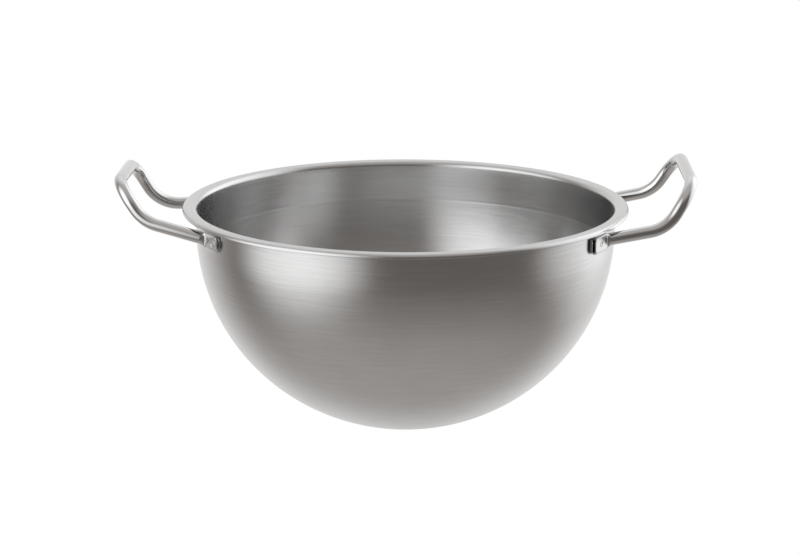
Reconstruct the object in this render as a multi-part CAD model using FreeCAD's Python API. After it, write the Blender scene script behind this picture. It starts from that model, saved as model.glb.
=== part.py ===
import FreeCAD, Part
import math
import os

# A bakery mixing bowl: one spun and pressed steel bowl with a turned-down rim, and two handles of
# bent steel tube whose flattened ends are spot welded to the wall just under the rim.
# Millimetres. +Z is up, X runs from handle to handle, and the origin is the centre of the base.

# Bowl
RIM_RADIUS = 200.0
BODY_RADIUS = 187.8
SHEET = 1.2
BAND_HEIGHT = 21.8        # straight upper wall, measured down from the rim's top
BELLY_DEPTH = 182.9       # vertical half axis of the elliptical lower body
BASE_RADIUS = 40.0
RIM_INNER_BEND = 3.8      # under the flange, where the wall turns outwards
RIM_OUTER_BEND = 3.4      # over the flange's outer corner
RIM_EDGE = 3.8            # height of the turned-down edge

# Handle tube and its flattened ends
TUBE_RADIUS = 5.5
TUBE_WALL = 1.2
PAD_THICKNESS = 4.4
PAD_HEIGHT = 15.6
PAD_DROP = 16.5           # from the rim's top to the middle of the pad
PAD_START = 25.0          # degrees off the X axis, where the flat pad begins
PAD_END = 31.8            # degrees off the X axis, the open end of the tube
KNUCKLE = 23.5            # degrees off the X axis, where the leg turns into the pad
SHOULDER = 8.0            # from the knuckle to the start of the round tube
OPEN_END_CUT = 1.0        # degrees that the slit's cutter runs past the tube's open end

# Spot welds
WELD_ANGLE = 28.6         # degrees off the X axis
WELD_RADIUS = 2.8
WELD_DENT = 0.3
INNER_MARK_DENT = 0.12

# Handle shape. A bend is where a leg turns up, and a corner is where it turns into the grip.
BEND_REACH = 228.6
BEND_HALF_WIDTH = 64.0
BEND_RADIUS = 34.0
CORNER_REACH = 251.2
CORNER_HALF_WIDTH = 56.0
CORNER_RADIUS = 27.5

# Both handles have one plan shape, but they are bent by hand and sit a few millimetres out of true,
# so each has its own heights above the rim's top: the front leg's first, then the rear leg's.
RIGHT_BEND_HEIGHTS = (-9.2, -2.8)
RIGHT_CORNER_HEIGHTS = (27.2, 33.7)
LEFT_BEND_HEIGHTS = (-3.8, -16.1)
LEFT_CORNER_HEIGHTS = (28.2, 25.0)

BELLY_CENTRE = BELLY_DEPTH * math.sqrt(1 - (BASE_RADIUS / BODY_RADIUS) ** 2)
RIM_HEIGHT = BELLY_CENTRE + BAND_HEIGHT
PAD_Z = RIM_HEIGHT - PAD_DROP
UP = FreeCAD.Vector(0, 0, 1)
ORIGIN = FreeCAD.Vector(0, 0, 0)


def point(radius, height):
    """A point of the bowl's profile."""
    return FreeCAD.Vector(radius, 0, height)


def line(start, end):
    return Part.LineSegment(start, end).toShape()


def quarter_bend(start, end, centre):
    """A quarter circle from start to end about centre."""
    radius = (start - centre).Length
    middle = centre + ((start - centre) + (end - centre)).normalize() * radius
    return Part.Arc(start, middle, end).toShape()


def belly_arc(offset, lowest):
    """The lower body's elliptical profile, from the straight band down to a height."""
    centre = point(0, BELLY_CENTRE)
    side = point(BODY_RADIUS - offset, BELLY_CENTRE)
    bottom = point(0, BELLY_CENTRE - BELLY_DEPTH + offset)
    ellipse = Part.Ellipse(side, bottom, centre)
    end = math.asin((BELLY_CENTRE - lowest) / (BELLY_DEPTH - offset))
    return Part.ArcOfEllipse(ellipse, 0, end).toShape()


def bowl_profile():
    """Outside from the base up, over the rim, and back down the inside."""
    outside = belly_arc(0, 0)
    inside = belly_arc(SHEET, SHEET)
    under_bend = point(BODY_RADIUS + RIM_INNER_BEND, RIM_HEIGHT - SHEET - RIM_INNER_BEND)
    edge_bend = point(RIM_RADIUS - RIM_OUTER_BEND, RIM_HEIGHT - RIM_OUTER_BEND)
    wall_out_top = point(BODY_RADIUS, under_bend.z)
    flange_under_in = point(under_bend.x, RIM_HEIGHT - SHEET)
    flange_under_out = point(edge_bend.x, RIM_HEIGHT - SHEET)
    edge_in_top = point(RIM_RADIUS - SHEET, edge_bend.z)
    edge_in_low = point(RIM_RADIUS - SHEET, RIM_HEIGHT - RIM_EDGE)
    edge_out_low = point(RIM_RADIUS, RIM_HEIGHT - RIM_EDGE)
    edge_out_top = point(RIM_RADIUS, edge_bend.z)
    flange_out = point(edge_bend.x, RIM_HEIGHT)
    flange_in = point(under_bend.x, RIM_HEIGHT)
    wall_in_top = point(BODY_RADIUS - SHEET, under_bend.z)
    edges = [
        line(ORIGIN, point(BASE_RADIUS, 0)),
        outside,
        line(point(BODY_RADIUS, BELLY_CENTRE), wall_out_top),
        quarter_bend(wall_out_top, flange_under_in, under_bend),
        line(flange_under_in, flange_under_out),
        quarter_bend(flange_under_out, edge_in_top, edge_bend),
        line(edge_in_top, edge_in_low),
        line(edge_in_low, edge_out_low),
        line(edge_out_low, edge_out_top),
        quarter_bend(edge_out_top, flange_out, edge_bend),
        line(flange_out, flange_in),
        quarter_bend(flange_in, wall_in_top, under_bend),
        line(wall_in_top, point(BODY_RADIUS - SHEET, BELLY_CENTRE)),
        inside,
        line(inside.Vertexes[-1].Point, point(0, SHEET)),
        line(point(0, SHEET), ORIGIN),
    ]
    return Part.Face(Part.Wire(Part.__sortEdges__(edges)))


def spin(angle):
    """The direction from the bowl's axis at an angle from +X, in degrees."""
    return FreeCAD.Vector(math.cos(math.radians(angle)), math.sin(math.radians(angle)), 0)


def weld_angles():
    """The four weld places round the bowl, in degrees from +X."""
    return [WELD_ANGLE, 180 - WELD_ANGLE, 180 + WELD_ANGLE, -WELD_ANGLE]


def bowl():
    shape = bowl_profile().revolve(ORIGIN, UP, 360)
    for angle in weld_angles():
        outward = spin(angle)
        start = outward * (BODY_RADIUS - 2 * SHEET) + UP * PAD_Z
        depth = SHEET + INNER_MARK_DENT
        shape = shape.cut(Part.makeCylinder(WELD_RADIUS, depth, start, outward))
    return shape


def section(centre, across, upward, width, height, flatness):
    """A closed tube section: round at flatness 0, and two flat walls with round ends at 1."""
    round_x = width / 2 * math.sqrt(0.5)
    round_y = height / 2 * math.sqrt(0.5)
    corner_x = round_x + (width / 2 - round_x) * flatness
    corner_y = round_y + ((height - width) / 2 - round_y) * flatness

    def at(x, y):
        return centre + across * x + upward * y

    corners = [at(corner_x * x, corner_y * y) for x, y in ((1, -1), (1, 1), (-1, 1), (-1, -1))]
    crowns = [at(width / 2 * x, height / 2 * y) for x, y in ((1, 0), (0, 1), (-1, 0), (0, -1))]
    edges = []
    for index in range(4):
        start = corners[index]
        end = corners[(index + 1) % 4]
        if flatness == 1 and index % 2 == 0:
            edges.append(line(start, end))
        else:
            edges.append(Part.Arc(start, crowns[index], end).toShape())
    return Part.Wire(edges)


def leg_path(points, radii):
    """Straight runs joined by tangent arcs."""
    edges = []
    start = points[0]
    for index, radius in enumerate(radii, start=1):
        corner = points[index]
        back = (points[index - 1] - corner).normalize()
        ahead = (points[index + 1] - corner).normalize()
        half_turn = back.getAngle(ahead) / 2
        setback = radius / math.tan(half_turn)
        arc_start = corner + back * setback
        arc_end = corner + ahead * setback
        bisector = (back + ahead).normalize()
        arc_middle = corner + bisector * (radius / math.sin(half_turn) - radius)
        edges.append(line(start, arc_start))
        edges.append(Part.Arc(arc_start, arc_middle, arc_end).toShape())
        start = arc_end
    edges.append(line(start, points[-1]))
    return Part.Wire(edges)


def mirrored(vector, side):
    """The same vector for the right handle (side 1) or the left one (side -1)."""
    return FreeCAD.Vector(side * vector.x, vector.y, vector.z)


def handle_corners(side, bend_heights, corner_heights):
    """The centreline's points: knuckle, bend and corner of the front leg, then back down the rear."""
    legs = []
    for index, leg in enumerate((-1, 1)):
        knuckle = spin(leg * KNUCKLE) * (BODY_RADIUS + PAD_THICKNESS / 2) + UP * PAD_Z
        bend = FreeCAD.Vector(BEND_REACH, leg * BEND_HALF_WIDTH, RIM_HEIGHT + bend_heights[index])
        corner = FreeCAD.Vector(CORNER_REACH, leg * CORNER_HALF_WIDTH, RIM_HEIGHT + corner_heights[index])
        legs.append([knuckle, bend, corner])
    front, rear = legs
    return [mirrored(place, side) for place in front + rear[::-1]]


def across_run(direction, outward):
    """The level direction square to a run of tube, on the side that faces away from the bowl."""
    across = direction.cross(UP).normalize()
    return across if across.dot(outward) > 0 else -across


def round_section(start, direction, radius):
    across = across_run(direction, FreeCAD.Vector(start.x, start.y, 0))
    upward = across.cross(direction).normalize()
    return section(start, across, upward, 2 * radius, 2 * radius, 0)


def flattened_end(side, leg, knuckle, start, radius, thickness, height, pad_end):
    """From the round tube at start, round the knuckle, to the flat pad that lies on the wall."""
    outward = mirrored(spin(leg * PAD_START), side)
    pad_centre = outward * (BODY_RADIUS + PAD_THICKNESS / 2) + UP * PAD_Z
    flat = section(pad_centre, outward, UP, thickness, height, 1)
    middle = start * 0.25 + knuckle * 0.5 + pad_centre * 0.25
    across = across_run(pad_centre - start, outward)
    half_flat = section(middle, across, UP, thickness / 2 + radius, height / 2 + radius, 0.5)
    round_end = round_section(start, knuckle - start, radius)
    transition = Part.makeLoft([round_end, half_flat, flat], True, False)
    pad = Part.Face(flat).revolve(ORIGIN, UP, (pad_end - PAD_START) * leg * side)
    return [transition, pad]


def handle_core(side, corners, radius, thickness, height, pad_end):
    """The handle as a solid rod, with ends flattened to the given thickness and height."""
    knuckles = [corners[0], corners[-1]]
    bends = [corners[1], corners[-2]]
    starts = []
    for knuckle, bend in zip(knuckles, bends):
        starts.append(knuckle + (bend - knuckle).normalize() * SHOULDER)
    radii = [BEND_RADIUS, CORNER_RADIUS, CORNER_RADIUS, BEND_RADIUS]
    path = leg_path([starts[0]] + corners[1:-1] + [starts[1]], radii)
    shape = path.makePipeShell([round_section(starts[0], bends[0] - starts[0], radius)], True, False)
    for leg, knuckle, start in zip((-1, 1), knuckles, starts):
        shape = shape.fuse(flattened_end(side, leg, knuckle, start, radius, thickness, height, pad_end))
    return shape.removeSplitter()


def handle(side, bend_heights, corner_heights):
    """A hollow tube handle with a weld dent in each pad's outer face."""
    corners = handle_corners(side, bend_heights, corner_heights)
    both_walls = 2 * TUBE_WALL
    outside = handle_core(side, corners, TUBE_RADIUS, PAD_THICKNESS, PAD_HEIGHT, PAD_END)
    inside = handle_core(
        side, corners, TUBE_RADIUS - TUBE_WALL,
        PAD_THICKNESS - both_walls, PAD_HEIGHT - both_walls, PAD_END + OPEN_END_CUT)
    shape = outside.cut(inside)
    for leg in (-1, 1):
        outward = mirrored(spin(leg * WELD_ANGLE), side)
        start = outward * (BODY_RADIUS + PAD_THICKNESS - WELD_DENT) + UP * PAD_Z
        shape = shape.cut(Part.makeCylinder(WELD_RADIUS, TUBE_WALL, start, outward))
    return shape


def save(name, shape):
    """Writes a piece that is one valid solid to its STEP file."""
    print(name, "valid", shape.isValid(), "solids", len(shape.Solids), "volume", round(shape.Volume))
    shape.Solids[0].exportStep("parts/" + name + ".step")


os.makedirs("parts", exist_ok=True)
save("bowl", bowl())
save("left_handle", handle(-1, LEFT_BEND_HEIGHTS, LEFT_CORNER_HEIGHTS))
save("right_handle", handle(1, RIGHT_BEND_HEIGHTS, RIGHT_CORNER_HEIGHTS))
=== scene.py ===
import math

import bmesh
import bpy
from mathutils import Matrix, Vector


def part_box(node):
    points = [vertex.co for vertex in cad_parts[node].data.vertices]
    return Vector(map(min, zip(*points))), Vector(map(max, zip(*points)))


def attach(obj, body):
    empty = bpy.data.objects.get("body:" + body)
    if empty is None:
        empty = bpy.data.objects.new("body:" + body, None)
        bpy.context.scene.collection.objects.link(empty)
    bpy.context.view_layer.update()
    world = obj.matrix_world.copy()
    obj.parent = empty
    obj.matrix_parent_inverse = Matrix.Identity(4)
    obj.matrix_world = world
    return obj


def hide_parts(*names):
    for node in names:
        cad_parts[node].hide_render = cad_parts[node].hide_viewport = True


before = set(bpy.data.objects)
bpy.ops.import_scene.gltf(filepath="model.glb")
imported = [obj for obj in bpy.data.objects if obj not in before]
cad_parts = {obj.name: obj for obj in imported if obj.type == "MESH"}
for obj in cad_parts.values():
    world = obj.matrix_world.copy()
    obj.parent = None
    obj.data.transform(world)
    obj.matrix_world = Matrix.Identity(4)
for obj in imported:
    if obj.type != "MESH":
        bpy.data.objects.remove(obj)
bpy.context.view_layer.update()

# %% [markdown]
# # A handled mixing bowl
#
# The real object is three pieces of stainless steel: a round-bottomed bowl spun from one sheet, and
# two handles bent from tube, whose flattened ends are spot welded under the rim.
# The CAD frame gives the bowl's rim height and radius, so the first cell reads them from it.
# Each piece is then modelled the way its maker makes it, because the same steps give the same small
# shapes that catch the light: bends with a radius, a lip, a squashed tube end.

MM = 0.001
bowl_low, bowl_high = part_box("bowl")
RIM_HEIGHT = bowl_high.z
RIM_RADIUS = (bowl_high.x - bowl_low.x) / 2
SHEET = 1.2 * MM
BODY_RADIUS = RIM_RADIUS - 12.2 * MM
UP = Vector((0, 0, 1))
print("rim height", round(RIM_HEIGHT / MM, 1), "mm, rim radius", round(RIM_RADIUS / MM, 1), "mm")

# %% [markdown]
# ## Small helpers
#
# Modelling operators act on whatever is selected, and the loaded frame leaves its own pieces
# selected. So one helper always starts clean: it selects one object and enters edit mode.
# A second one picks vertices by their place, as a click or a box select would by hand.

# %% Edit mode helpers
def edit(piece):
    """Selects one object only and opens it in edit mode."""
    if bpy.context.mode != "OBJECT":
        bpy.ops.object.mode_set(mode="OBJECT")
    bpy.ops.object.select_all(action="DESELECT")
    piece.select_set(True)
    bpy.context.view_layer.objects.active = piece
    bpy.ops.object.mode_set(mode="EDIT")


def pick(piece, test):
    """Selects the vertices whose place passes the test."""
    bpy.ops.mesh.select_mode(type="VERT")
    bpy.ops.mesh.select_all(action="DESELECT")
    mesh = bmesh.from_edit_mesh(piece.data)
    for vertex in mesh.verts:
        if test(vertex.co):
            vertex.select_set(True)
    mesh.select_flush(True)
    bmesh.update_edit_mesh(piece.data)


def pick_faces(piece, centre, radius):
    """Selects the faces whose middle lies within a radius of a place."""
    bpy.ops.mesh.select_mode(type="FACE")
    bpy.ops.mesh.select_all(action="DESELECT")
    mesh = bmesh.from_edit_mesh(piece.data)
    for face in mesh.faces:
        if (face.calc_center_median() - centre).length < radius:
            face.select_set(True)
    bmesh.update_edit_mesh(piece.data)


def new_piece(name):
    """Names the object just added and puts its place in its mesh."""
    piece = bpy.context.active_object
    piece.name = name
    piece.data.name = name
    bpy.ops.object.transform_apply(location=True, rotation=True, scale=True)
    return piece


def finish_with(piece, kind, **settings):
    """Adds one modifier with its settings and applies it."""
    if bpy.context.mode != "OBJECT":
        bpy.ops.object.mode_set(mode="OBJECT")
    bpy.ops.object.select_all(action="DESELECT")
    piece.select_set(True)
    bpy.context.view_layer.objects.active = piece
    modifier = piece.modifiers.new(kind.title(), kind)
    for setting, value in settings.items():
        setattr(modifier, setting, value)
    bpy.ops.object.modifier_apply(modifier=modifier.name)


# %% [markdown]
# ## The bowl's outline
#
# A spun bowl is a disc of sheet pressed over a turning former, so its whole shape is one outline
# carried round an axis. It could be built by stacking scaled rings, but then the rim's small bends
# would be guesswork. Here the outline of the inner, visible face is drawn first: a quarter of an
# ellipse for the belly, a straight band, a quarter bend outwards, the flat rim, a quarter bend down
# and the short lip. Bends are made by spinning a single point about the bend's centre.

# %% Draw the outline
BELLY_DEPTH = 182.9 * MM
BAND_HEIGHT = 21.8 * MM
RIM_INNER_BEND = 3.8 * MM + SHEET
RIM_OUTER_BEND = 3.4 * MM
RIM_EDGE = 3.8 * MM
BELLY_CENTRE = RIM_HEIGHT - BAND_HEIGHT
BELLY_STEPS = 64
BAND_STEPS = 4
INNER_RADIUS = BODY_RADIUS - SHEET
TINY = 0.01 * MM

bpy.ops.object.select_all(action="DESELECT")
bpy.ops.mesh.primitive_circle_add(
    vertices=4 * BELLY_STEPS, radius=INNER_RADIUS, location=(0, 0, BELLY_CENTRE),
    rotation=(math.pi / 2, 0, 0))
bowl = new_piece("bowl_shell")
edit(bowl)
bpy.ops.transform.resize(
    value=(1, 1, (BELLY_DEPTH - SHEET) / INNER_RADIUS), center_override=(0, 0, BELLY_CENTRE))
pick(bowl, lambda co: co.x < -TINY or co.z > BELLY_CENTRE + TINY)
bpy.ops.mesh.delete(type="VERT")
bpy.ops.mesh.select_all(action="SELECT")
bpy.ops.mesh.bisect(plane_co=(0, 0, SHEET), plane_no=(0, 0, 1), clear_inner=True, threshold=TINY)
print("belly outline points", len(bmesh.from_edit_mesh(bowl.data).verts))

# %% [markdown]
# ## The band and the rim
#
# On the real bowl the rim is turned over a roller after the wall is spun, which leaves a bend of
# a few millimetres on each side of the flat. Bevelling sharp corners would come close. One
# point carried round each bend's centre gives the true arcs, and shows how far each one reaches.

# %% Extend the outline over the rim
RIM_BEND_STEPS = 10


def extrude_by(x, z):
    """Draws the outline on from the selected point."""
    bpy.ops.mesh.extrude_region_move(TRANSFORM_OT_translate={"value": (x, 0, z)})


def quarter_bend(centre_x, centre_z):
    """Carries the selected point a quarter turn round a centre."""
    bpy.ops.mesh.spin(
        steps=RIM_BEND_STEPS, angle=-math.pi / 2, center=(centre_x, 0, centre_z), axis=(0, 1, 0))


flat_from = INNER_RADIUS + RIM_INNER_BEND
flat_to = RIM_RADIUS - RIM_OUTER_BEND
pick(bowl, lambda co: co.z > BELLY_CENTRE - TINY)
for step in range(BAND_STEPS):
    extrude_by(0, (RIM_HEIGHT - RIM_INNER_BEND - BELLY_CENTRE) / BAND_STEPS)
quarter_bend(flat_from, RIM_HEIGHT - RIM_INNER_BEND)
extrude_by(flat_to - flat_from, 0)
quarter_bend(flat_to, RIM_HEIGHT - RIM_OUTER_BEND)
extrude_by(0, RIM_OUTER_BEND - RIM_EDGE)
outline = bmesh.from_edit_mesh(bowl.data)
print("outline reaches", round(max(v.co.x for v in outline.verts) / MM, 1), "mm out and",
      round(max(v.co.z for v in outline.verts) / MM, 1), "mm up")

# %% [markdown]
# ## The faint ring inside
#
# A hairline ring runs round the inner wall, a little way below the straight band. It was probably
# left by the forming. A groove cut with a boolean would be far too sharp. Three cuts across the
# outline give it points to move, and proportional editing swells the wall by a tenth of a
# millimetre, so only the shine changes.

# %% Mark the ring on the outline
RING_BELOW_RIM = 37.5 * MM
RING_PUSH = 0.12 * MM
RING_REACH = 12 * MM
RING_DEPTH = 0.15 * MM
RING_HALF_WIDTH = 1.2 * MM
RING_HEIGHT = RIM_HEIGHT - RING_BELOW_RIM

for offset in (-RING_HALF_WIDTH, 0, RING_HALF_WIDTH):
    bpy.ops.mesh.select_all(action="SELECT")
    bpy.ops.mesh.bisect(
        plane_co=(0, 0, RING_HEIGHT + offset), plane_no=(0, 0, 1), threshold=TINY)
pick(bowl, lambda co: abs(co.z - RING_HEIGHT) < TINY)
bpy.ops.transform.translate(
    value=(RING_PUSH, 0, 0), use_proportional_edit=True,
    proportional_edit_falloff="LINEAR", proportional_size=RING_REACH)
print("ring", round(RING_HEIGHT / MM, 1), "mm up")

# %% Close the floor
FLOOR_SEARCH = 60 * MM

outline = bmesh.from_edit_mesh(bowl.data)
lowest = min(v.co.z for v in outline.verts)
pick(bowl, lambda co: co.z < lowest + TINY and co.x < FLOOR_SEARCH)
base_edge = [v.co.x for v in outline.verts if v.select][0]
extrude_by(-base_edge, 0)
print("base radius inside", round(base_edge / MM, 1), "mm")

# %% [markdown]
# ## Spin the bowl and give it a wall
#
# The finished outline is carried once round the Z axis. Spinning leaves its first and last copies on
# top of each other, and a stack of points on the axis, so doubles are merged. Then the normals are
# made to agree, while the shell is still a single skin, and only after that does Solidify give
# the sheet its thickness on the outside.

# %% Spin the outline
TURNS = 240

bpy.ops.mesh.select_all(action="SELECT")
bpy.ops.mesh.spin(steps=TURNS, angle=2 * math.pi, center=(0, 0, 0), axis=(0, 0, 1))
bpy.ops.mesh.select_all(action="SELECT")
bpy.ops.mesh.remove_doubles(threshold=TINY)
bpy.ops.mesh.normals_make_consistent(inside=False)
print("skin faces", len(bmesh.from_edit_mesh(bowl.data).faces))

# %% [markdown]
# ## Weld marks
#
# Each spot weld leaves a small round dent on the inner wall, where the electrode pressed. The wall's
# faces are too large to show it, so the few faces round each weld are subdivided first, and then
# the centre is pushed with proportional editing, which pulls its neighbours along smoothly.

# %% Press the inner weld marks
WELD_ANGLE = math.radians(28.6)
PAD_HEIGHT_FROM_RIM = 16.5 * MM
WELD_RADIUS = 2.8 * MM
INNER_DENT = 0.12 * MM
WELD_CUTS = 6
PAD_Z = RIM_HEIGHT - PAD_HEIGHT_FROM_RIM
weld_directions = []
for angle in (WELD_ANGLE, math.pi - WELD_ANGLE, math.pi + WELD_ANGLE, -WELD_ANGLE):
    weld_directions.append(Vector((math.cos(angle), math.sin(angle), 0)))

for direction in weld_directions:
    centre = direction * INNER_RADIUS + UP * PAD_Z
    pick_faces(bowl, centre, 3 * WELD_RADIUS)
    bpy.ops.mesh.subdivide(number_cuts=WELD_CUTS)
    pick(bowl, lambda co: (co - centre).length < WELD_RADIUS / 3)
    bpy.ops.transform.translate(
        value=direction * INNER_DENT, use_proportional_edit=True,
        proportional_edit_falloff="SMOOTH", proportional_size=WELD_RADIUS)
bpy.ops.object.mode_set(mode="OBJECT")
print("skin faces with weld marks", len(bowl.data.polygons))

# %% [markdown]
# ## The sheet's thickness
#
# The bowl is one sheet of even thickness, so Solidify adds it on the outside and leaves the drawn
# inner face alone. Scaling a second copy would thin the wall on slopes. A small bevel dulls the cut
# edge of the lip, and the ring is then pressed into the inner face only.

# %% Give the sheet its thickness
finish_with(bowl, "SOLIDIFY", thickness=SHEET, offset=-1, use_even_offset=True, use_quality_normals=True)
finish_with(
    bowl, "BEVEL", width=0.3 * MM, segments=2, limit_method="ANGLE", angle_limit=math.radians(50))
ring_radius = INNER_RADIUS + RING_PUSH
edit(bowl)
pick(bowl, lambda co: abs(co.z - RING_HEIGHT) < 2 * TINY and math.hypot(co.x, co.y) < ring_radius)
groove = 1 + RING_DEPTH / ring_radius
bpy.ops.transform.resize(value=(groove, groove, 1), center_override=(0, 0, RING_HEIGHT))
bpy.ops.object.mode_set(mode="OBJECT")
bpy.ops.object.shade_smooth_by_angle(angle=math.radians(40))
print("bowl faces", len(bowl.data.polygons))

# %% [markdown]
# ## The handle tube
#
# Each handle is one straight tube bent four times: two legs turn up, and two corners make the grip.
# A curve with a round bevel would give the same path, but a tube bender works with straight runs
# and arcs, and so does this cell: it extrudes a ring along a run and then spins it round the
# bend's centre, once for each bend.

# %% Tube path sizes
TUBE_RADIUS = 5.5 * MM
TUBE_WALL = 1.2 * MM
RING_POINTS = 48
BEND_STEPS = 14
PAD_THICKNESS = 4.4 * MM
PAD_HEIGHT = 15.6 * MM
PAD_START = math.radians(25.0)
PAD_END = math.radians(31.8)
KNUCKLE = math.radians(23.5)
SHOULDER = 4.0 * MM
BEND_REACH = 228.6 * MM
BEND_HALF_WIDTH = 64.0 * MM
BEND_RADIUS = 34.0 * MM
CORNER_REACH = 251.2 * MM
CORNER_HALF_WIDTH = 56.0 * MM
CORNER_RADIUS = 27.5 * MM
PAD_MIDDLE = BODY_RADIUS + PAD_THICKNESS / 2

# Heights above the rim, front leg then rear leg: both handles were bent by hand and differ a little.
RIGHT_HEIGHTS = {"bend": (-9.2 * MM, -2.8 * MM), "corner": (27.2 * MM, 33.7 * MM)}
LEFT_HEIGHTS = {"bend": (-3.8 * MM, -16.1 * MM), "corner": (28.2 * MM, 25.0 * MM)}


def round_wall(angle, side, radius):
    """A point at pad height on a circle round the bowl, measured from the handle's axis."""
    return Vector((side * radius * math.cos(angle), radius * math.sin(angle), PAD_Z))


def tube_corners(side, heights):
    """Knuckle, bend and corner of the front leg, then back down the rear leg."""
    legs = []
    for leg, bend_up, corner_up in zip((-1, 1), heights["bend"], heights["corner"]):
        legs.append([
            round_wall(leg * KNUCKLE, side, PAD_MIDDLE),
            Vector((side * BEND_REACH, leg * BEND_HALF_WIDTH, RIM_HEIGHT + bend_up)),
            Vector((side * CORNER_REACH, leg * CORNER_HALF_WIDTH, RIM_HEIGHT + corner_up))])
    return legs[0] + legs[1][::-1]


# %% Bend a tube
def ring_facing(direction, place, name):
    """A ring of points square to a direction, with its first point at the top."""
    across = direction.cross(UP).normalized()
    upward = across.cross(direction).normalized()
    turn = Matrix((across, upward, -direction)).transposed().to_euler()
    bpy.ops.object.mode_set(mode="OBJECT")
    bpy.ops.object.select_all(action="DESELECT")
    bpy.ops.mesh.primitive_circle_add(
        vertices=RING_POINTS, radius=TUBE_RADIUS, location=place, rotation=turn)
    return new_piece(name)


def bend_tube(name, corners):
    """Extrudes along each run and spins round each bend. Returns the tube."""
    start = corners[0] + (corners[1] - corners[0]).normalized() * SHOULDER
    end = corners[-1] + (corners[-2] - corners[-1]).normalized() * SHOULDER
    points = [start] + corners[1:-1] + [end]
    radii = [BEND_RADIUS, CORNER_RADIUS, CORNER_RADIUS, BEND_RADIUS]
    tube = ring_facing((points[1] - start).normalized(), start, name)
    edit(tube)
    bpy.ops.mesh.select_all(action="SELECT")
    here = start
    for index, radius in enumerate(radii, start=1):
        corner = points[index]
        ahead_in = (corner - points[index - 1]).normalized()
        ahead_out = (points[index + 1] - corner).normalized()
        turn = ahead_in.angle(ahead_out)
        setback = radius * math.tan(turn / 2)
        bend_start = corner - ahead_in * setback
        axis = ahead_in.cross(ahead_out).normalized()
        bend_centre = bend_start + axis.cross(ahead_in) * radius
        bpy.ops.mesh.extrude_region_move(TRANSFORM_OT_translate={"value": bend_start - here})
        bpy.ops.mesh.spin(steps=BEND_STEPS, angle=-turn, center=bend_centre, axis=axis)
        here = corner + ahead_out * setback
    bpy.ops.mesh.extrude_region_move(TRANSFORM_OT_translate={"value": end - here})
    mesh = bmesh.from_edit_mesh(tube.data)
    last_ring = [v.co for v in mesh.verts if v.select]
    reached = sum(last_ring, Vector()) / len(last_ring)
    print(name, "ends", round((reached - end).length / MM, 3), "mm from its place")
    return tube


# %% [markdown]
# ## The flattened ends
#
# The maker squashes each end of the tube in a press, lays it along the wall and spot welds it. Here a
# ring is squashed at the handle's axis, where it is square to X and Y: its sides are pressed onto two
# planes, and its halves move apart, as a squashed tube gets taller. It is then spun about the
# bowl's own axis, which curves the pad to the wall exactly, and turned to its place.

# %% Press a pad
PAD_STEPS = 24
FLAT_SPREAD = math.radians(52)
SQUASH_PER_THICKNESS = 0.14 / MM
OUTER_DENT = 0.35 * MM
RING_INSIDE = 0.62
RING_SEARCH = 1.3
RING_CUTS = 3
# Both sides were pressed and welded by hand and differ: 1 is the right handle, -1 the left one.
END_ROUNDING = {1: 2.0 * MM, -1: 5.0 * MM}
WELD_RING = {1: 2.4 * MM, -1: 4.4 * MM}
WELD_PLACE = {1: WELD_ANGLE, -1: math.radians(29.6)}
PAD_PRESSED = {1: 4.8 * MM, -1: 3.2 * MM}


def press_pad(name, side, leg):
    """A flattened piece of tube that lies on the wall, from its open end to the knuckle."""
    thickness = PAD_PRESSED[side]
    middle = Vector((BODY_RADIUS + thickness / 2, 0, PAD_Z))
    pad = ring_facing(Vector((0, 1, 0)), middle, name)
    side_height = TUBE_RADIUS * math.sin(FLAT_SPREAD)
    growth = PAD_HEIGHT / 2 - TUBE_RADIUS
    edit(pad)
    bpy.ops.mesh.select_all(action="SELECT")
    bpy.ops.transform.resize(value=(SQUASH_PER_THICKNESS * thickness, 1, 1), center_override=middle)
    for face in (-1, 1):
        pick(pad, lambda co: abs(co.z - PAD_Z) < side_height and (co.x - middle.x) * face > 0)
        plane = middle + Vector((face * thickness / 2, 0, 0))
        bpy.ops.transform.resize(value=(0, 1, 1), center_override=plane)
    for half in (-1, 1):
        pick(pad, lambda co: (co.z - PAD_Z) * half > side_height)
        bpy.ops.transform.translate(value=(0, 0, half * growth))
    pick(pad, lambda co: abs(co.z - PAD_Z) < side_height)
    bpy.ops.transform.resize(value=(1, 1, (side_height + growth) / side_height), center_override=middle)
    bpy.ops.mesh.select_all(action="SELECT")
    onward = -side * leg
    bpy.ops.mesh.spin(
        steps=PAD_STEPS, angle=-onward * (PAD_END - PAD_START), center=(0, 0, 0), axis=(0, 0, 1))
    rounding = END_ROUNDING[side]
    step = (PAD_END - PAD_START) * PAD_MIDDLE / PAD_STEPS
    for index in range(math.ceil(rounding / step)):
        left_over = rounding - index * step
        drop = rounding - math.sqrt(rounding ** 2 - left_over ** 2)
        pick(pad, lambda co: abs(abs(math.atan2(co.y, co.x)) * PAD_MIDDLE - index * step) < step / 4)
        bpy.ops.transform.resize(value=(1, 1, 1 - 2 * drop / PAD_HEIGHT), center_override=middle)
    weld_turn = onward * (PAD_END - WELD_PLACE[side])
    weld = Vector((math.cos(weld_turn), math.sin(weld_turn), 0)) * (middle.x + thickness / 2)
    weld.z = PAD_Z
    ring_radius = WELD_RING[side]
    pick_faces(pad, weld, RING_SEARCH * ring_radius)
    bpy.ops.mesh.subdivide(number_cuts=RING_CUTS)
    pick(pad, lambda co: RING_INSIDE * ring_radius < (co - weld).length < ring_radius)
    bpy.ops.transform.translate(value=(weld - UP * PAD_Z).normalized() * -OUTER_DENT)
    bpy.ops.object.mode_set(mode="OBJECT")
    pad.rotation_euler.z = leg * PAD_END if side > 0 else math.pi - leg * PAD_END
    bpy.ops.object.transform_apply(location=True, rotation=True, scale=True)
    return pad


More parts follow.
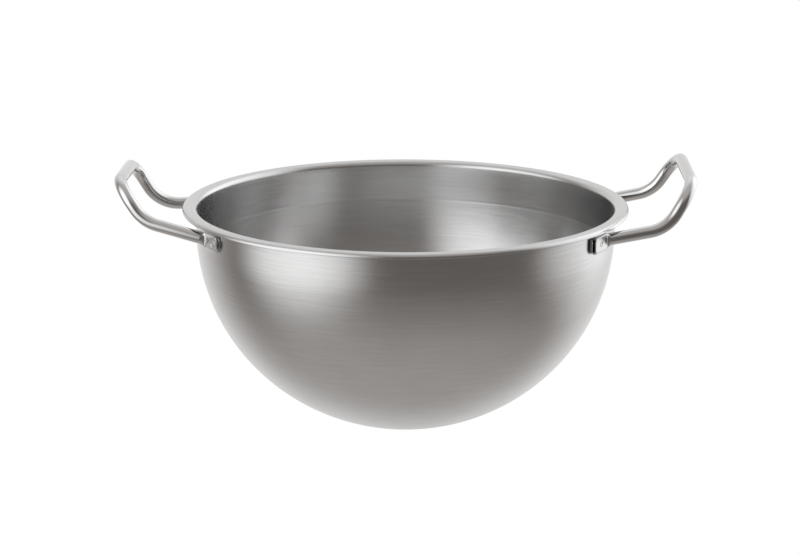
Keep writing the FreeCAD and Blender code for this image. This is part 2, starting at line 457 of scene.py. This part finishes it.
# %% [markdown]
# ## One handle from its parts
#
# The round tube and the two flat pads are separate meshes until now. Joined, they are closed with
# Bridge Edge Loops, whose smooth setting draws the squashed shoulder between a round ring and a
# flat one, much as the press does. Solidify then makes the tube hollow, and a small bevel dulls
# its cut ends.

# %% Assemble a handle
BRIDGE_CUTS = 10
SHOULDER_SMOOTHNESS = 0.9
TUBE_END_SEARCH = 1.2 * TUBE_RADIUS
PAD_END_SEARCH = 0.6 * PAD_HEIGHT


def rim_edges(piece, place, radius):
    """Selects the open edges near a place, and leaves the rest as they are."""
    mesh = bmesh.from_edit_mesh(piece.data)
    for edge in mesh.edges:
        middle = (edge.verts[0].co + edge.verts[1].co) / 2
        if edge.is_boundary and (middle - place).length < radius:
            edge.select_set(True)
    bmesh.update_edit_mesh(piece.data)


def build_handle(name, side, heights):
    """Bends the tube, presses both pads, joins them and gives the tube its wall."""
    corners = tube_corners(side, heights)
    handle = bend_tube(name, corners)
    bpy.ops.object.mode_set(mode="OBJECT")
    pads = [press_pad(name + "_pad", side, leg) for leg in (-1, 1)]
    bpy.ops.object.select_all(action="DESELECT")
    for part in pads + [handle]:
        part.select_set(True)
    bpy.context.view_layer.objects.active = handle
    bpy.ops.object.join()
    edit(handle)
    for leg, knuckle, bend in ((-1, corners[0], corners[1]), (1, corners[-1], corners[-2])):
        bpy.ops.mesh.select_mode(type="EDGE")
        bpy.ops.mesh.select_all(action="DESELECT")
        rim_edges(handle, knuckle + (bend - knuckle).normalized() * SHOULDER, TUBE_END_SEARCH)
        rim_edges(handle, round_wall(leg * PAD_START, side, PAD_MIDDLE), PAD_END_SEARCH)
        bpy.ops.mesh.bridge_edge_loops(
            number_cuts=BRIDGE_CUTS, interpolation="SURFACE", smoothness=SHOULDER_SMOOTHNESS)
    bpy.ops.mesh.select_all(action="SELECT")
    bpy.ops.mesh.remove_doubles(threshold=TINY)
    bpy.ops.mesh.normals_make_consistent(inside=False)
    bpy.ops.object.mode_set(mode="OBJECT")
    finish_with(handle, "SOLIDIFY", thickness=TUBE_WALL, offset=-1, use_even_offset=True)
    finish_with(
        handle, "BEVEL", width=0.25 * MM, segments=2, limit_method="ANGLE", angle_limit=math.radians(60))
    bpy.ops.object.shade_smooth_by_angle(angle=math.radians(50))
    print(name, "faces", len(handle.data.polygons))
    return handle


right_handle = build_handle("right_tube_handle", 1, RIGHT_HEIGHTS)
left_handle = build_handle("left_tube_handle", -1, LEFT_HEIGHTS)

# %% [markdown]
# ## Standing in for the frame
#
# The three new pieces take over from the three CAD nodes, which stay hidden for collision. Nothing
# on this object moves, so each piece rides on the one body, root.

# %% Tie the pieces to the frame
for piece, node, slot in (
        (bowl, "bowl", "satin_steel"),
        (right_handle, "right_handle", "polished_steel"),
        (left_handle, "left_handle", "polished_steel")):
    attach(piece, "root")
    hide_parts(node)
    print(piece.name, "stands in for", node)

# %% [markdown]
# ## Steel finishes
#
# All three pieces are the same stainless steel and differ only in how they were finished, so both
# materials start from one colour. The helper below adds one node, with its settings and its links.

# %% Material helpers
def linear(hex_colour):
    """Turns an sRGB hex colour into the linear colour that a shader socket takes."""
    channels = [int(hex_colour[i:i + 2], 16) / 255 for i in (1, 3, 5)]
    return [c / 12.92 if c <= 0.04045 else ((c + 0.055) / 1.055) ** 2.4 for c in channels] + [1.0]


def add_node(tree, kind, inputs=None, **settings):
    """Adds a shader node. An input is a plain value, or another node's output to link."""
    node = tree.nodes.new("ShaderNode" + kind)
    for name, value in settings.items():
        setattr(node, name, value)
    for name, value in (inputs or {}).items():
        if isinstance(value, bpy.types.NodeSocket):
            tree.links.new(value, node.inputs[name])
        else:
            node.inputs[name].default_value = value
    return node


def new_material(name, pieces):
    """Puts a new, empty node material on each piece and returns its node tree."""
    material = bpy.data.materials.new(name)
    material.use_nodes = True
    material.node_tree.nodes.clear()
    for piece in pieces:
        piece.data.materials.clear()
        piece.data.materials.append(material)
    return material.node_tree


# %% [markdown]
# ## Brushed bowl
#
# The bowl is finished with an abrasive pad while it still turns, so its scratches run round it. To
# the eye that gives soft highlights stretched up the wall, across the scratches, and faint streaks
# along them. An image of scratches would need a UV map. Noise stretched round the axis needs none.
# Real scratches are a few hundredths of a millimetre apart and too fine to show, so these lines are
# drawn about one to three millimetres apart.

# %% Brushed steel, turned on the spinning lathe
BRUSH_LINE = 0.9 * MM
BRUSH_STROKE = 40 * MM
BAND_LINE = 2.6 * MM
BAND_STROKE = 26 * MM
CLOUD_SIZE = 55 * MM
BRUSH_DEPTH = 0.1 * MM


def brushed(tree, place, line, stroke, detail):
    """Noise drawn out into strokes that run round the bowl, one line's width apart up the wall."""
    axes = add_node(tree, "SeparateXYZ", {"Vector": place}).outputs
    level = add_node(tree, "CombineXYZ", {"X": axes["X"], "Y": axes["Y"]}).outputs["Vector"]
    radius = add_node(tree, "VectorMath", {0: level}, operation="LENGTH").outputs["Value"]
    up_the_wall = add_node(tree, "Math", {0: axes["Z"], 1: radius}, operation="ADD").outputs[0]
    lines = add_node(tree, "Math", {0: up_the_wall, 1: stroke / line}, operation="MULTIPLY").outputs[0]
    strokes = add_node(tree, "CombineXYZ", {"X": axes["X"], "Y": axes["Y"], "Z": lines}).outputs[0]
    noise = add_node(
        tree, "TexNoise", {"Vector": strokes, "Scale": 1 / stroke, "Detail": detail, "Roughness": 0.6})
    return noise.outputs["Fac"]


tree = new_material("lathe_brushed_stainless", [bowl])
place = add_node(tree, "TexCoord").outputs["Object"]
fine = brushed(tree, place, BRUSH_LINE, BRUSH_STROKE, 4.0)
coarse = brushed(tree, place, BAND_LINE, BAND_STROKE, 3.0)
handled = add_node(
    tree, "TexNoise", {"Vector": place, "Scale": 1 / CLOUD_SIZE, "Detail": 3.0}).outputs["Fac"]
streaks = add_node(tree, "MapRange", {"Value": fine, "From Min": 0.3, "From Max": 0.7})
clean_tint = add_node(
    tree, "Mix", {"Factor": streaks.outputs[0], "A": linear("#C3C3C3"), "B": linear("#CDCDCD")},
    data_type="RGBA")
clouding = add_node(
    tree, "MapRange", {"Value": handled, "From Min": 0.45, "From Max": 0.75, "To Max": 0.35})
tint = add_node(
    tree, "Mix",
    {"Factor": clouding.outputs[0], "A": clean_tint.outputs["Result"], "B": linear("#BDBBBA")},
    data_type="RGBA")
rough_strokes = add_node(
    tree, "MapRange",
    {"Value": coarse, "From Min": 0.3, "From Max": 0.7, "To Min": 0.235, "To Max": 0.265})
fine_bump = add_node(tree, "Bump", {"Height": fine, "Strength": 0.08, "Distance": BRUSH_DEPTH})
coarse_bump = add_node(
    tree, "Bump",
    {"Height": coarse, "Strength": 0.1, "Distance": BRUSH_DEPTH, "Normal": fine_bump.outputs[0]})
steel = add_node(
    tree, "BsdfPrincipled",
    {"Base Color": tint.outputs["Result"], "Metallic": 1.0, "Roughness": rough_strokes.outputs[0],
     "Anisotropic": 0.8, "Anisotropic Rotation": 0.25, "Normal": coarse_bump.outputs[0],
     "Tangent": add_node(tree, "Tangent", direction_type="RADIAL", axis="Z").outputs[0]})
add_node(tree, "OutputMaterial", {"Surface": steel.outputs[0]})
print("brush lines", BRUSH_LINE / MM, "and", BAND_LINE / MM, "mm apart")

# %% [markdown]
# ## Polished handles
#
# The tube is drawn and then polished, so to the eye it is a mirror with thin, sharp bright and dark
# lines along it, dulled here and there by scuffs. The press takes the shine off the flattened ends.
# They could have a material of their own, but the change is gradual, so the roughness rises instead
# with nearness to the bowl's wall.

# %% Polished drawn tube
SCUFF_SIZE = 5 * MM
SCUFF_DEPTH = 0.05 * MM
PRESSED_ROUGHNESS = 0.27
PRESSED_WITHIN = BODY_RADIUS + 5 * MM
POLISHED_BEYOND = BODY_RADIUS + 9 * MM

tree = new_material("polished_drawn_stainless_tube", [right_handle, left_handle])
place = add_node(tree, "TexCoord").outputs["Object"]
axes = add_node(tree, "SeparateXYZ", {"Vector": place}).outputs
level = add_node(tree, "CombineXYZ", {"X": axes["X"], "Y": axes["Y"]}).outputs["Vector"]
from_axis = add_node(tree, "VectorMath", {0: level}, operation="LENGTH").outputs["Value"]
scuffs = add_node(
    tree, "TexNoise", {"Vector": place, "Scale": 1 / SCUFF_SIZE, "Detail": 5.0}).outputs["Fac"]
polished = add_node(
    tree, "MapRange",
    {"Value": scuffs, "From Min": 0.4, "From Max": 0.75, "To Min": 0.05, "To Max": 0.11})
pressed = add_node(
    tree, "MapRange",
    {"Value": from_axis, "From Min": PRESSED_WITHIN, "From Max": POLISHED_BEYOND,
     "To Min": 1.0, "To Max": 0.0})
roughness = add_node(
    tree, "Mix", {"Factor": pressed.outputs[0], "A": polished.outputs[0], "B": PRESSED_ROUGHNESS},
    data_type="FLOAT")
bump = add_node(tree, "Bump", {"Height": scuffs, "Strength": 0.05, "Distance": SCUFF_DEPTH})
steel = add_node(
    tree, "BsdfPrincipled",
    {"Base Color": linear("#CDCDCD"), "Metallic": 1.0, "Roughness": roughness.outputs[0],
     "Normal": bump.outputs[0]})
add_node(tree, "OutputMaterial", {"Surface": steel.outputs[0]})
print("scuffs", round(SCUFF_SIZE / MM, 1), "mm across")

# %% [markdown]
# ## Camera
#
# A product is usually taken from a few steps back with a long lens, which keeps the rim's ellipse
# calm. The camera could be placed by typing a position. Giving its distance in rim radii and its
# angle above the rim keeps the view the same if the bowl's size changes.

# %% Camera
CAMERA_DISTANCE = 10.2 * RIM_RADIUS
CAMERA_ELEVATION = math.radians(12.36)
AIM_BELOW_RIM = math.radians(1.89)
AIM_LEFT = math.radians(0.135)
CAMERA_ROLL = math.radians(0.1)

camera_data = bpy.data.cameras.new("camera")
camera_data.sensor_width = 36
camera_data.lens = 102.0
camera = bpy.data.objects.new("camera", camera_data)
bpy.context.scene.collection.objects.link(camera)
bpy.context.scene.camera = camera
rim_centre = Vector((0, 0, RIM_HEIGHT))
back_and_up = Vector((0, -math.cos(CAMERA_ELEVATION), math.sin(CAMERA_ELEVATION)))
camera.location = rim_centre + CAMERA_DISTANCE * back_and_up
ahead = (rim_centre - camera.location).normalized()
view_up = Vector((1, 0, 0)).cross(ahead)
ahead = (ahead - Vector((math.tan(AIM_LEFT), 0, 0)) - view_up * math.tan(AIM_BELOW_RIM)).normalized()
view_right = ahead.cross(UP).normalized()
view_up = view_right.cross(ahead)
turned_right = view_right * math.cos(CAMERA_ROLL) + view_up * math.sin(CAMERA_ROLL)
turned_up = view_up * math.cos(CAMERA_ROLL) - view_right * math.sin(CAMERA_ROLL)
camera.rotation_euler = Matrix((turned_right, turned_up, -ahead)).transposed().to_euler()

# %% [markdown]
# ## Light
#
# Bare steel has hardly any colour of its own: what the eye sees is the room it reflects. This is a
# plain studio: a large soft box on the left, a softer one on the right, a pale wall behind, a lit
# ceiling, some light back up from the floor, and a dim side where the camera stands. Area lights
# could do the same, but a polished tube would show the black gaps between them. Here each soft box
# is a round, soft-edged patch of the world in one direction, so the room has no gaps.

# %% Studio light
# Each soft box: degrees round from the camera side (right is positive), degrees up, half width of its
# bright middle, half width where it has faded out, and brightness.
SOFT_BOXES = {
    "left box": (-60, 10, 12, 52, 1.5),
    "right box": (112, 14, 10, 52, 1.1),
    "pale wall": (180, 5, 15, 85, 0.75),
    "ceiling": (0, 90, 10, 70, 0.45),
    "floor bounce": (0, -90, 10, 75, 0.35)}
DIM_ROOM = 0.16
DIM_TINT = "#FFF4EC"

scene = bpy.context.scene
scene.view_settings.view_transform = "Standard"
world = bpy.data.worlds.new("studio")
scene.world = world
world.use_nodes = True
tree = world.node_tree
tree.nodes.clear()
direction = add_node(tree, "TexCoord").outputs["Generated"]
brightness = DIM_ROOM
for name, (round_by, up_by, middle, faded, level) in SOFT_BOXES.items():
    around, up = math.radians(round_by), math.radians(up_by)
    towards = (math.sin(around) * math.cos(up), -math.cos(around) * math.cos(up), math.sin(up))
    facing = add_node(
        tree, "VectorMath", {0: direction, 1: towards}, operation="DOT_PRODUCT").outputs["Value"]
    patch = add_node(
        tree, "MapRange",
        {"Value": facing, "From Min": math.cos(math.radians(faded)),
         "From Max": math.cos(math.radians(middle)), "To Max": level},
        interpolation_type="SMOOTHSTEP").outputs[0]
    brightness = add_node(tree, "Math", {0: patch, 1: brightness}, operation="ADD").outputs[0]
tint = add_node(
    tree, "Mix", {"Factor": brightness, "A": linear(DIM_TINT), "B": linear("#FFFFFF")},
    data_type="RGBA").outputs["Result"]
background = add_node(tree, "Background", {"Color": tint, "Strength": brightness})
add_node(tree, "OutputWorld", {"Surface": background.outputs[0]})
print("soft boxes", len(SOFT_BOXES))

# %% [markdown]
# ## Floor and backdrop
#
# The bowl stands on a white paper sweep. Lighting real paper evenly takes many lamps, so here it
# glows evenly by itself, and only the camera sees it: the steel reflects the studio instead.

# %% Floor and backdrop
bpy.ops.object.select_all(action="DESELECT")
bpy.ops.mesh.primitive_plane_add(size=12)
floor = new_piece("floor")
bpy.ops.object.select_all(action="DESELECT")
bpy.ops.mesh.primitive_uv_sphere_add(radius=8, segments=48, ring_count=24)
backdrop = new_piece("backdrop")
tree = new_material("white_paper_sweep", [floor, backdrop])
paper = add_node(tree, "Emission", {"Color": linear("#FFFFFF"), "Strength": 1.0})
add_node(tree, "OutputMaterial", {"Surface": paper.outputs[0]})
for paper_piece in (floor, backdrop):
    paper_piece.visible_glossy = False
    paper_piece.visible_diffuse = False
    paper_piece.visible_shadow = False
